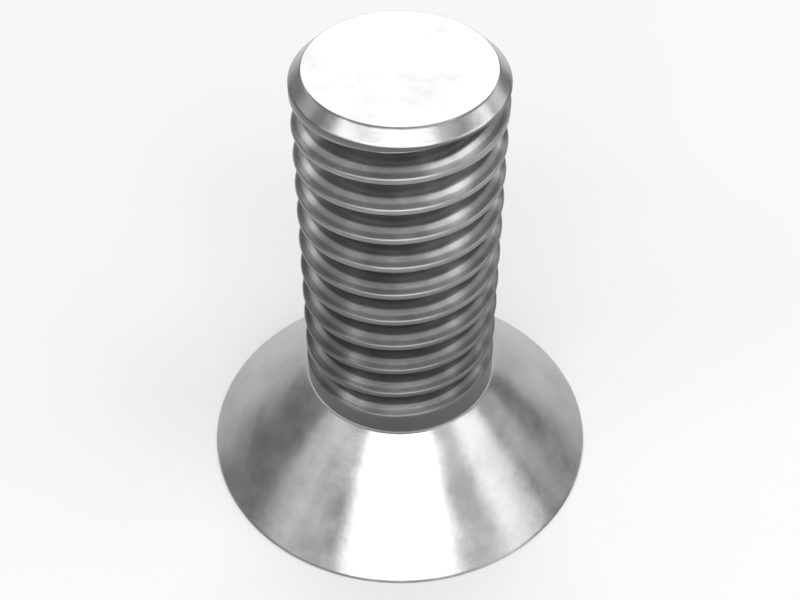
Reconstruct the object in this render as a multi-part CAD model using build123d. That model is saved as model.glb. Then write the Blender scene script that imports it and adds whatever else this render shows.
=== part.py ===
"""Countersunk socket screw, M4 x 10: one cold-forged, thread-rolled piece of stainless steel.

Frame: millimetres, +Z up.  The origin is the centre of the flat head face, and +Z runs
along the axis from the head to the tip, so the screw stands on its head.
"""
from build123d import *
import os
from math import atan, cos, degrees, radians, sqrt, tan

# ---- driving dimensions ----------------------------------------------------------------
thread_diameter = 4.0         # nominal diameter of the metric thread
thread_pitch = 0.7            # coarse pitch, one start, right hand
thread_angle = 60.0           # angle between the two flanks
screw_length = 10.0           # over the head, as countersunk screws are measured

head_diameter = 8.4
head_land = 0.04              # height of the thin cylindrical edge round the head face
head_angle = 90.0             # included angle of the countersink
neck_fillet = 0.10            # radius where the cone meets the shank

neck_length = 0.45            # plain shank between the cone and the first groove
lead_length = 0.05            # plain shank between the last groove and the tip chamfer
runout_turns = 0.5            # part of a turn over which each end of the groove fades out
runout_azimuth = -118.0       # where the groove by the head has just reached its full depth

tip_chamfer = 0.24            # width and height of the 45 degree chamfer round the tip

key_size = 2.5                # hexagon socket, across flats
key_depth = 1.6               # straight depth of the hexagon
key_point_angle = 120.0       # included angle of the forged cone in the socket's floor
key_mouth = 0.08              # how far the countersunk mouth stands outside the hexagon's corners

cut_clearance = 0.15          # how far a cutting solid stands out of the metal that it cuts

# ---- sizes that follow -----------------------------------------------------------------
shank_radius = thread_diameter / 2
head_radius = head_diameter / 2
head_slope = tan(radians(head_angle / 2))
head_height = head_land + (head_radius - shank_radius) / head_slope

flank_slope = tan(radians(thread_angle / 2))
crest_width = thread_pitch / 8
root_width = thread_pitch / 6
groove_half_width = (thread_pitch - crest_width) / 2
groove_depth = (groove_half_width - root_width / 2) / flank_slope
root_radius = shank_radius - groove_depth

groove_start = head_height + neck_length + groove_half_width
groove_end = screw_length - tip_chamfer - lead_length - groove_half_width
groove_height = groove_end - groove_start

key_corner_radius = key_size / sqrt(3)
key_mouth_radius = key_corner_radius + key_mouth
key_point_depth = (key_size / 2) / tan(radians(key_point_angle / 2))


def blank():
    """The forged blank before rolling: flat head, cone, shank and chamfered tip."""
    with BuildPart() as part:
        with BuildSketch(Plane.XZ):
            with BuildLine():
                outline = Polyline(
                    (0, 0),
                    (head_radius, 0),
                    (head_radius, head_land),
                    (shank_radius, head_height),
                    (shank_radius, screw_length - tip_chamfer),
                    (shank_radius - tip_chamfer, screw_length),
                    (0, screw_length),
                    close=True,
                )
            make_face()
            neck = outline.vertices().sort_by_distance((shank_radius, head_height))[0]
            fillet(neck, neck_fillet)
        revolve(axis=Axis.Z)
    return part.part


def groove_section():
    """Section of the thread groove: two flanks and a narrow flat root, open past the crest."""
    open_radius = shank_radius + cut_clearance
    open_half_width = groove_half_width + cut_clearance * flank_slope
    with BuildSketch(Plane.XZ) as section:
        Polygon(
            (root_radius, -root_width / 2),
            (open_radius, -open_half_width),
            (open_radius, open_half_width),
            (root_radius, root_width / 2),
            align=None,
        )
    return section.sketch.face()


def groove():
    """The whole right-hand thread groove, with a stretch at each end that rises out of the shank."""
    section = groove_section()
    helix = Edge.make_helix(thread_pitch, groove_height, shank_radius)
    full = Solid.sweep(section, helix, is_frenet=True)

    runout_height = runout_turns * thread_pitch
    runout_slope = atan((groove_depth + cut_clearance) / runout_height)
    rising_helix = Edge.make_helix(
        thread_pitch / cos(runout_slope), runout_height, shank_radius, angle=degrees(runout_slope)
    )
    runout = Solid.sweep(section, rising_helix, is_frenet=True)

    end_turn = 360 * groove_height / thread_pitch
    upper = Pos(0, 0, groove_height) * Rot(0, 0, end_turn) * runout
    lower = Rot(180, 0, 0) * runout
    place = Pos(0, 0, groove_start) * Rot(0, 0, runout_azimuth)
    return [place * piece for piece in (full, upper, lower)]


def key_socket():
    """The hexagon socket: straight walls, a shallow cone in the floor and a countersunk mouth."""
    with BuildPart() as part:
        with BuildSketch():
            RegularPolygon(radius=key_size / 2, side_count=6, major_radius=False)
        extrude(amount=key_depth)
        with BuildSketch(Plane.XZ):
            Polygon(
                (0, key_depth),
                (key_size / 2, key_depth),
                (0, key_depth + key_point_depth),
                align=None,
            )
            Polygon((0, 0), (key_mouth_radius, 0), (0, key_mouth_radius), align=None)
        revolve(axis=Axis.Z)
    return part.part


screw = blank() - groove() - key_socket()

os.makedirs("parts", exist_ok=True)
export_step(screw, "parts/countersunk_screw.step")
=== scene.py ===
from math import atan2, ceil, cos, pi, radians, sin, tan

import bmesh
import bpy
from mathutils import Matrix, Vector


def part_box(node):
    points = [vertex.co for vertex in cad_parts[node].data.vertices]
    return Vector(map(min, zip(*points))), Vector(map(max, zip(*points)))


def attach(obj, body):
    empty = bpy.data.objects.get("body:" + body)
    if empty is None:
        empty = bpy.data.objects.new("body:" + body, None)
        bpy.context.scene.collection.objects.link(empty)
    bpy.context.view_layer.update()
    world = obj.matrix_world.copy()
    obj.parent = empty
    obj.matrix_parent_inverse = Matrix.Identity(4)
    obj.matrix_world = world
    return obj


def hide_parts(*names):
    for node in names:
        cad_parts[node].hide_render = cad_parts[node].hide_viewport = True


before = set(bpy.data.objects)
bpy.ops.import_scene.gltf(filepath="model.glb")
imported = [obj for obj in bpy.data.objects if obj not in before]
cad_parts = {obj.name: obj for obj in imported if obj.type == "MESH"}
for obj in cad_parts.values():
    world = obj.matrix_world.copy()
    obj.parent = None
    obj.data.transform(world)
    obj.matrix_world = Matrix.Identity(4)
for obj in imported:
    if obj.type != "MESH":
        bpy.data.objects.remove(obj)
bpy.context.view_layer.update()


# ---- The screw -------------------------------------------------------------------------
# One piece of stainless steel wire: head and hexagon socket are cold forged, the thread is
# rolled between flat dies, and the whole screw is tumbled until it is bright.
# All lengths in this section are millimetres, and the mesh is made metres at its end.
MILLIMETRE = 0.001
high_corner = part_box("countersunk_screw")[1]

thread_radius = 2.0
thread_pitch = 0.7
crest_half = thread_pitch / 16
groove_half = thread_pitch / 2 - crest_half
flank_slope = tan(radians(30))                            # the flanks stand 60 degrees apart
vee_radius = thread_radius - groove_half / flank_slope    # where the two flanks would meet
root_round = 0.12 * thread_pitch                          # rolled root, one round arc
crest_round = 0.040                                       # rolled crests are almost round

head_radius = high_corner.x / MILLIMETRE
head_land = 0.04
cone_lean = radians(45)                                   # half of the 90 degree countersink
head_top = head_land + (head_radius - thread_radius) / tan(cone_lean)
neck_fillet = 0.10
neck_plain = 0.45

tip_height = high_corner.z / MILLIMETRE
tip_chamfer = 0.24
tip_lead = 0.05
edge_break = 0.008                                        # tumbling takes the corners off
hold = 0.035                                              # ring beside an edge that keeps faces flat

groove_start = head_top + neck_plain + groove_half
groove_end = tip_height - tip_chamfer - tip_lead - groove_half
groove_turns = (groove_end - groove_start) / thread_pitch
groove_azimuth = -118
runout_turns = 0.37

key_half = 1.25                                           # half of 2.5 mm across the flats
key_depth = 1.6
point_slope = tan(radians(30))                            # the punch ends in a 120 degree cone
key_point = key_half * point_slope
key_chamfer = 0.08
wall_turn = radians(60)                                   # from one wall of the hexagon to the next
key_mouth = key_half / cos(wall_turn / 2) + key_chamfer

columns = 180                                             # two degrees each, to meet the key's corners
lead_laps = 2                                             # turns below the start, trimmed off later
weld = 0.002                                              # vertices this close become one
fine_weld = 0.0005

body = bmesh.new()


def ring_edges(height):
    """The open edges that lie at one height."""
    return [
        edge for edge in body.edges
        if edge.is_boundary and all(abs(vert.co.z - height) < fine_weld for vert in edge.verts)
    ]


def draw_out(edges, radius, height):
    """Extrude an open ring to a new radius and height, each a number or a function of the azimuth."""
    made = bmesh.ops.extrude_edge_only(body, edges=edges)["geom"]
    verts = {item for item in made if isinstance(item, bmesh.types.BMVert)}
    for vert in verts:
        azimuth = atan2(vert.co.y, vert.co.x)
        reach = radius(azimuth) if callable(radius) else radius
        level = height(azimuth) if callable(height) else height
        vert.co = (reach * cos(azimuth), reach * sin(azimuth), level)
    return [
        item for item in made
        if isinstance(item, bmesh.types.BMEdge) and all(vert in verts for vert in item.verts)
    ]


def close_ring(edges, height):
    """Close an open ring with a fan of faces that meet on the screw's axis."""
    cap = bmesh.ops.contextual_create(body, geom=edges)["faces"]
    fan = bmesh.ops.poke(body, faces=cap)
    fan["verts"][0].co = (0, 0, height)


# The outline of one thread pitch, from crest to crest, with its corners rounded.
outline = [
    body.verts.new((reach, 0, height))
    for reach, height in (
        (thread_radius, -thread_pitch / 2),
        (thread_radius, -groove_half),
        (vee_radius, 0),
        (thread_radius, groove_half),
        (thread_radius, thread_pitch / 2),
    )
]
for lower, upper in zip(outline, outline[1:]):
    body.edges.new((lower, upper))
for corner, offset, segments in (
    (outline[1], crest_round, 3),
    (outline[3], crest_round, 3),
    (outline[2], root_round / flank_slope, 8),
):
    bmesh.ops.bevel(
        body, geom=[corner], affect="VERTICES", offset_type="OFFSET", offset=offset,
        segments=segments, profile=0.5, material=-1,
    )

# One turn of thread, which climbs by its pitch, and the further turns above it.
bmesh.ops.spin(
    body, geom=body.verts[:] + body.edges[:], cent=(0, 0, 0), axis=(0, 0, 1),
    dvec=(0, 0, thread_pitch / columns), angle=2 * pi, steps=columns,
    use_merge=False, use_normal_flip=False, use_duplicate=False,
)
first_turn = body.verts[:] + body.edges[:] + body.faces[:]
for lap in range(1, lead_laps + ceil(groove_turns) + 2):
    copy = bmesh.ops.duplicate(body, geom=first_turn)["geom"]
    lifted = [item for item in copy if isinstance(item, bmesh.types.BMVert)]
    bmesh.ops.translate(body, verts=lifted, vec=(0, 0, lap * thread_pitch))
bmesh.ops.remove_doubles(body, verts=body.verts[:], dist=weld)
bmesh.ops.translate(body, verts=body.verts[:], vec=(0, 0, groove_start - lead_laps * thread_pitch))

# At both ends of the groove the dies let go: it gets shallower and narrower until it is gone.
for vert in body.verts:
    azimuth = atan2(vert.co.y, vert.co.x) / (2 * pi)
    lap = azimuth + round((vert.co.z - groove_start) / thread_pitch - azimuth)
    middle = groove_start + lap * thread_pitch
    aside = vert.co.z - middle
    if abs(aside) > thread_pitch / 2 - weld:
        continue
    past_end = max(-lap, lap - groove_turns, 0)
    kept = max(0, 1 - past_end / runout_turns)
    outward = Vector((vert.co.x, vert.co.y, 0))
    depth = thread_radius - outward.length
    outward.length = thread_radius - depth * kept
    vert.co = (outward.x, outward.y, middle + aside * kept)
bmesh.ops.remove_doubles(body, verts=body.verts[:], dist=fine_weld)
bmesh.ops.rotate(
    body, verts=body.verts[:], cent=(0, 0, 0),
    matrix=Matrix.Rotation(radians(groove_azimuth), 3, "Z"),
)

# The shank is cut level at both ends, where the plain neck and the tip begin.
neck_cut = head_top + neck_fillet * tan(cone_lean / 2)
tip_cut = tip_height - tip_chamfer - hold
for level, above in ((neck_cut, False), (tip_cut, True)):
    bmesh.ops.bisect_plane(
        body, geom=body.verts[:] + body.edges[:] + body.faces[:], dist=1e-5,
        plane_co=(0, 0, level), plane_no=(0, 0, 1), clear_outer=above, clear_inner=not above,
    )

# Tip: a 45 degree chamfer round a flat end.
outer_ring = 0.6                                          # rings on the flat, shares of its radius
inner_ring = 0.2

ring = ring_edges(tip_cut)
flat_radius = thread_radius - tip_chamfer
for reach, height in (
    (thread_radius, tip_height - tip_chamfer),
    (thread_radius - hold, tip_height - tip_chamfer + hold),
    (flat_radius + hold, tip_height - hold),
    (flat_radius, tip_height),
    (flat_radius - hold, tip_height),
    (flat_radius * outer_ring, tip_height),
    (flat_radius * inner_ring, tip_height),
):
    ring = draw_out(ring, reach, height)
close_ring(ring, tip_height)

# Neck and head: a small fillet, the cone, a thin upright land and the flat head face.
fillet_steps = 5
cone_rings = (0.12, 0.9)                                  # how far outside the shank they lie
face_ring = 1.2                                           # how far inside the rim it lies

ring = ring_edges(neck_cut)
for step in range(1, fillet_steps + 1):
    swing = cone_lean * step / fillet_steps
    ring = draw_out(
        ring, thread_radius + neck_fillet * (1 - cos(swing)), neck_cut - neck_fillet * sin(swing)
    )
for outside in cone_rings:
    ring = draw_out(ring, thread_radius + outside, head_top - outside)
for reach, height in (
    (head_radius - hold, head_land + hold),
    (head_radius, head_land),
    (head_radius, 0),
    (head_radius - hold, 0),
    (head_radius - face_ring, 0),
    (key_mouth + hold, 0),
    (key_mouth, 0),
):
    ring = draw_out(ring, reach, height)


# Socket: a countersunk mouth, six straight walls, and the punch's cone in the floor.
def key_wall(azimuth):
    """Distance from the axis to the hexagon's wall."""
    return key_half / cos(azimuth % wall_turn - wall_turn / 2)


floor_edge = 0.01                                         # flat strip between the walls and the point
point_ring = 0.05                                         # first ring on the point, in from the walls

ring = draw_out(ring, key_wall, lambda azimuth: key_mouth - key_wall(azimuth))
ring = draw_out(ring, key_wall, key_depth - hold)
ring = draw_out(ring, key_wall, key_depth)
ring = draw_out(ring, key_half - floor_edge, key_depth)
ring = draw_out(ring, key_half - point_ring, key_depth + point_ring * point_slope)
ring = draw_out(ring, key_half * inner_ring, key_depth + key_point * (1 - inner_ring))
close_ring(ring, key_depth + key_point)

bmesh.ops.remove_doubles(body, verts=body.verts[:], dist=fine_weld)
bmesh.ops.recalc_face_normals(body, faces=body.faces[:])

# Tumbling leaves a small round on both edges of the rim and on both edges of the chamfer.
worn = [
    edge for edge in body.edges
    if any(
        all(
            abs(vert.co.z - height) < weld / 2 and abs(vert.co.xy.length - reach) < weld / 2
            for vert in edge.verts
        )
        for reach, height in (
            (head_radius, head_land),
            (head_radius, 0),
            (thread_radius, tip_height - tip_chamfer),
            (flat_radius, tip_height),
        )
    )
]
bmesh.ops.bevel(
    body, geom=worn, affect="EDGES", offset_type="OFFSET", offset=edge_break,
    segments=2, profile=0.5, material=-1, clamp_overlap=True, loop_slide=True,
)

# Shading is smooth but for real corners, and round the wide upright lands each corner is crisp.
upright = 0.01                                            # the most that an upright face's normal rises
wide_land = 0.0035                                        # area of one face, in square millimetres
land_corner = radians(10)
open_corner = radians(32)

for face in body.faces:
    face.smooth = True
for edge in body.edges:
    beside_land = any(
        abs(face.normal.z) < upright and face.calc_area() > wide_land for face in edge.link_faces
    )
    edge.smooth = edge.calc_face_angle(0) < (land_corner if beside_land else open_corner)
bmesh.ops.scale(body, verts=body.verts[:], vec=(MILLIMETRE,) * 3)


def finish_shape(name, shape):
    """Turn a finished bmesh into an object of the scene, with its place in its mesh."""
    mesh = bpy.data.meshes.new(name)
    shape.to_mesh(mesh)
    shape.free()
    piece = bpy.data.objects.new(name, mesh)
    bpy.context.scene.collection.objects.link(piece)
    return piece


screw = finish_shape("screw", body)


def linear(code):
    """Turn an sRGB hex colour into linear values."""
    channels = [int(code[i:i + 2], 16) / 255 for i in (1, 3, 5)]
    return [c / 12.92 if c <= 0.04045 else ((c + 0.055) / 1.055) ** 2.4 for c in channels] + [1]


def add_node(tree, kind, inputs, **settings):
    """Add a shader node, set its properties, and fill or link its inputs by name or number."""
    node = tree.nodes.new(kind)
    for name, value in settings.items():
        setattr(node, name, value)
    for key, value in inputs.items():
        if isinstance(value, bpy.types.NodeSocket):
            tree.links.new(value, node.inputs[key])
        else:
            node.inputs[key].default_value = value
    return node


# Bright tumbled stainless steel: a neutral grey mirror whose reflections have soft edges.
# Forging and tumbling leave shallow clouds and a fine mottle, which make those edges waver.
cloud_size = 0.9
cloud_depth = 0.0032
mottle_size = 0.25
mottle_depth = 0.0015
cloud_greys = ((0.35, "#a3a3a3"), (0.65, "#bababa"))      # cloud level, steel colour at it
hazy_from, hazy_to = 0.3, 0.7                             # cloud levels
clear_roughness = 0.19
hazy_roughness = 0.27

steel = bpy.data.materials.new("tumbled_stainless_steel")
steel.use_nodes = True
tree = steel.node_tree
tree.nodes.clear()
place = add_node(tree, "ShaderNodeTexCoord", {}).outputs["Object"]
rise = add_node(tree, "ShaderNodeSeparateXYZ", {"Vector": place}).outputs["Z"]
sideways = add_node(tree, "ShaderNodeVectorMath", {0: place, 1: (1, 1, 0)}, operation="MULTIPLY")
from_axis = add_node(tree, "ShaderNodeVectorMath", {
    0: sideways.outputs["Vector"],
}, operation="LENGTH").outputs["Value"]
clouds = add_node(tree, "ShaderNodeTexNoise", {
    "Vector": place, "Scale": 1 / (cloud_size * MILLIMETRE), "Detail": 5.0, "Roughness": 0.6,
}).outputs["Fac"]
mottle = add_node(tree, "ShaderNodeTexNoise", {
    "Vector": place, "Scale": 1 / (mottle_size * MILLIMETRE), "Detail": 2.0, "Roughness": 0.5,
}).outputs["Fac"]
bright = add_node(tree, "ShaderNodeValToRGB", {"Fac": clouds})
for stop, (cloud_level, grey) in zip(bright.color_ramp.elements, cloud_greys):
    stop.position = cloud_level
    stop.color = linear(grey)
haze = add_node(tree, "ShaderNodeMapRange", {
    "Value": clouds, "From Min": hazy_from, "From Max": hazy_to,
    "To Min": clear_roughness, "To Max": hazy_roughness,
})

# Painted shade: the neck and the land below the tip are painted a darker grey, which stands in for their
# dimmer reflections, and this painted shade fades out slowly along the thread, away from the neck.
painted_shade_colour = "#808080"
shank_length = tip_height - head_top
land_end = shank_length - tip_chamfer
painted_shade_left = (                                             # height above the cone, share of painted shade
    (0.04, 1),
    (1.8, 1),
    (6.0, 0),
    (land_end - 0.15, 0),
    (land_end - 0.08, 1),
    (land_end, 1),
    (land_end + 0.005, 0),
)

along_shank = add_node(tree, "ShaderNodeMapRange", {
    "Value": rise, "From Min": head_top * MILLIMETRE, "From Max": tip_height * MILLIMETRE,
})
painted_shade_ramp = add_node(tree, "ShaderNodeValToRGB", {"Fac": along_shank.outputs["Result"]})
painted_shade_ramp.color_ramp.elements[-1].color = (0, 0, 0, 1)
for above_cone, share in painted_shade_left:
    stop = painted_shade_ramp.color_ramp.elements.new(above_cone / shank_length)
    stop.color = (share, share, share, 1)
# Mix the painted shade into the bright steel colour.
steel_with_painted_shade = add_node(tree, "ShaderNodeMix", {
    0: painted_shade_ramp.outputs["Color"], 6: bright.outputs["Color"], 7: linear(painted_shade_colour),
}, data_type="RGBA").outputs[2]

# Painted light on the thread: painted shade in the roots and a dark painted shade band below each crest,
# a painted highlight in the middle of each flank, and painted shade on the crests. The crests, which
# don't touch the dies, are also rougher.
root_depth = 0.43                                         # depths are measured from the crests
root_painted_shade = 0.65                                         # shares of the bright steel's reflection
# Painted shade band below each crest, darker than the steel.
painted_band_depth = 0.24
painted_band_share = 0.40
# Painted highlight in the middle of each flank, brighter than the steel.
painted_highlight_start = 0.20
painted_highlight_end = 0.14
painted_highlight_share = 1.35
# Painted shade on the crests, which dims their highlight.
crest_painted_shade_depth = 0.10
crest_painted_shade_share = 0.72
rough_start = 0.05
rough_full = 0.01
crest_roughness = 0.38

shank_middle = (neck_cut + tip_height - tip_chamfer) / 2
on_shank = add_node(tree, "ShaderNodeMath", {
    0: rise, 1: shank_middle * MILLIMETRE, 2: (shank_middle - neck_cut) * MILLIMETRE,
}, operation="COMPARE").outputs["Value"]
up_flank = add_node(tree, "ShaderNodeMapRange", {
    "Value": from_axis, "From Min": (thread_radius - root_depth) * MILLIMETRE,
    "From Max": thread_radius * MILLIMETRE,
})
flank_painted_light = add_node(tree, "ShaderNodeValToRGB", {"Fac": up_flank.outputs["Result"]})
# Ramp stops for the painted shade band, the painted highlight and the painted shade on the crests.
for depth in (painted_band_depth, painted_highlight_start, painted_highlight_end, crest_painted_shade_depth):
    flank_painted_light.color_ramp.elements.new(1 - depth / root_depth)
painted_light_shares = (root_painted_shade, painted_band_share, painted_highlight_share, painted_highlight_share, crest_painted_shade_share, crest_painted_shade_share)
for stop, share in zip(flank_painted_light.color_ramp.elements, painted_light_shares):
    stop.color = (share, share, share, 1)
# Multiply the painted light of the flanks into the steel colour on the shank.
colour = add_node(tree, "ShaderNodeMix", {
    0: on_shank, 6: steel_with_painted_shade, 7: flank_painted_light.outputs["Color"],
}, data_type="RGBA", blend_type="MULTIPLY")
crest = add_node(tree, "ShaderNodeMapRange", {
    "Value": from_axis, "From Min": (thread_radius - rough_start) * MILLIMETRE,
    "From Max": (thread_radius - rough_full) * MILLIMETRE,
})
on_crest = add_node(tree, "ShaderNodeMath", {
    0: crest.outputs["Result"], 1: on_shank,
}, operation="MULTIPLY")
roughness = add_node(tree, "ShaderNodeMix", {
    0: on_crest.outputs["Value"], 2: haze.outputs["Result"], 3: crest_roughness,
}, data_type="FLOAT")

# Fine streaks run round the thread. They are drawn about three times as coarse as real ones, so
# that they show, and the clouds shift them, so that none runs all the way round.
streak_size = 0.06
streak_depth = 0.0012
streak_shift = 0.4
shift = add_node(tree, "ShaderNodeMath", {
    0: clouds, 1: streak_shift * MILLIMETRE,
}, operation="MULTIPLY")
across = add_node(tree, "ShaderNodeCombineXYZ", {"X": from_axis, "Y": rise, "Z": shift.outputs["Value"]})
streaks = add_node(tree, "ShaderNodeTexNoise", {
    "Vector": across.outputs["Vector"], "Scale": 1 / (streak_size * MILLIMETRE),
    "Detail": 2.0, "Roughness": 0.5,
})
rolled = add_node(tree, "ShaderNodeMath", {
    0: streaks.outputs["Fac"], 1: on_shank,
}, operation="MULTIPLY")

waver = add_node(tree, "ShaderNodeBump", {
    "Height": clouds, "Strength": 1.0, "Distance": cloud_depth * MILLIMETRE,
})
pitting = add_node(tree, "ShaderNodeBump", {
    "Height": mottle, "Normal": waver.outputs["Normal"],
    "Strength": 1.0, "Distance": mottle_depth * MILLIMETRE,
})
rolling = add_node(tree, "ShaderNodeBump", {
    "Height": rolled.outputs["Value"], "Normal": pitting.outputs["Normal"],
    "Strength": 1.0, "Distance": streak_depth * MILLIMETRE,
})
shader = add_node(tree, "ShaderNodeBsdfPrincipled", {
    "Base Color": colour.outputs[2], "Metallic": 1.0, "Roughness": roughness.outputs[0],
    "Normal": rolling.outputs["Normal"],
})
add_node(tree, "ShaderNodeOutputMaterial", {"Surface": shader.outputs["BSDF"]})
screw.data.materials.append(steel)

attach(screw, "root")
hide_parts("countersunk_screw")


# ---- Floor -----------------------------------------------------------------------------
# A matt white laminate table top, wide enough to fill the view. The screw stands on it, on the
# flat face of its head.
floor_half = 0.6                                          # metres

sheet = bmesh.new()
bmesh.ops.create_grid(sheet, x_segments=2, y_segments=2, size=floor_half)
floor = finish_shape("floor", sheet)

# Matt white laminate: pale and even, with hardly any shine.
laminate = bpy.data.materials.new("matt_white_laminate")
laminate.use_nodes = True
tree = laminate.node_tree
tree.nodes.clear()
shader = add_node(tree, "ShaderNodeBsdfPrincipled", {
    "Base Color": linear("#fafafa"), "Roughness": 0.7, "Specular IOR Level": 0.2,
})
add_node(tree, "ShaderNodeOutputMaterial", {"Surface": shader.outputs["BSDF"]})
floor.data.materials.append(laminate)


# ---- Studio ----------------------------------------------------------------------------
# Soft boxes all round the screw, low and high but none right overhead, in a dim grey room.
# Together they give the floor about the brightness that its colour says.
aim = Vector((0, 0, tip_height / 2)) * MILLIMETRE
box_distance = 150 * MILLIMETRE


def soft_box(name, azimuth, elevation, width, height, radiance):
    """Hang a soft box: azimuth from the front towards +X, elevation above the floor, sizes in degrees."""
    across = 2 * box_distance * tan(radians(width / 2))
    tall = 2 * box_distance * tan(radians(height / 2))
    lamp = bpy.data.lights.new(name, "AREA")
    lamp.shape = "RECTANGLE"
    lamp.size, lamp.size_y = across, tall
    lamp.energy = pi * across * tall * radiance
    turn, lift = radians(azimuth), radians(elevation)
    out = Vector((sin(turn) * cos(lift), -cos(turn) * cos(lift), sin(lift)))
    rig = bpy.data.objects.new(name, lamp)
    rig.location = aim + out * box_distance
    rig.rotation_euler = out.to_track_quat("Z", "Y").to_euler()
    rig.visible_camera = False
    bpy.context.scene.collection.objects.link(rig)


soft_box("front_box", 0, 41, 57, 29, 3.15)
soft_box("high_left_box", -56, 42.5, 26, 12, 2.6)
soft_box("left_box", -53, 26, 18, 18, 0.6)
soft_box("left_side_box", -71.5, 26, 19, 18, 0.9)
soft_box("left_rear_box", -107, 24, 24, 10, 0.63)
soft_box("left_back_box", -132, 27, 22, 12, 1.0)
soft_box("right_fill", 50, 35, 22, 34, 0.72)
soft_box("right_low_fill", 46, 11, 42, 10, 1.17)
soft_box("right_box", 72, 26, 24, 18, 2.0)
soft_box("right_rear_box", 93, 27, 16, 10, 2.7)
soft_box("low_right_box", 99, 12, 18, 8, 0.68)
soft_box("high_right_box", 84, 60, 22, 16, 1.53)
soft_box("top_right_box", 54, 69, 14, 12, 1.17)
soft_box("right_back_box", 118, 18, 22, 12, 1.17)
soft_box("back_box", 180, 36, 44, 32, 2.25)

room = bpy.data.worlds.new("room")
room.use_nodes = True
room.node_tree.nodes["Background"].inputs["Color"].default_value = linear("#959595")
room.node_tree.nodes["Background"].inputs["Strength"].default_value = 1.0
bpy.context.scene.world = room


# ---- Camera ----------------------------------------------------------------------------
# Looks down at 45 degrees on the tip, from close by.
camera_lift = radians(45.307)
camera_distance = 27.168 * MILLIMETRE
camera_aim = Vector((0, 0, 4.137)) * MILLIMETRE

view = bpy.data.cameras.new("camera")
view.sensor_width = 36
view.lens = 58.76
view.clip_start = 1 * MILLIMETRE
view.clip_end = 10                                        # metres
camera = bpy.data.objects.new("camera", view)
back = Vector((0, -cos(camera_lift), sin(camera_lift)))
camera.location = camera_aim + back * camera_distance
camera.rotation_euler = back.to_track_quat("Z", "Y").to_euler()
bpy.context.scene.collection.objects.link(camera)
bpy.context.scene.camera = camera
bpy.context.scene.view_settings.view_transform = "Standard"
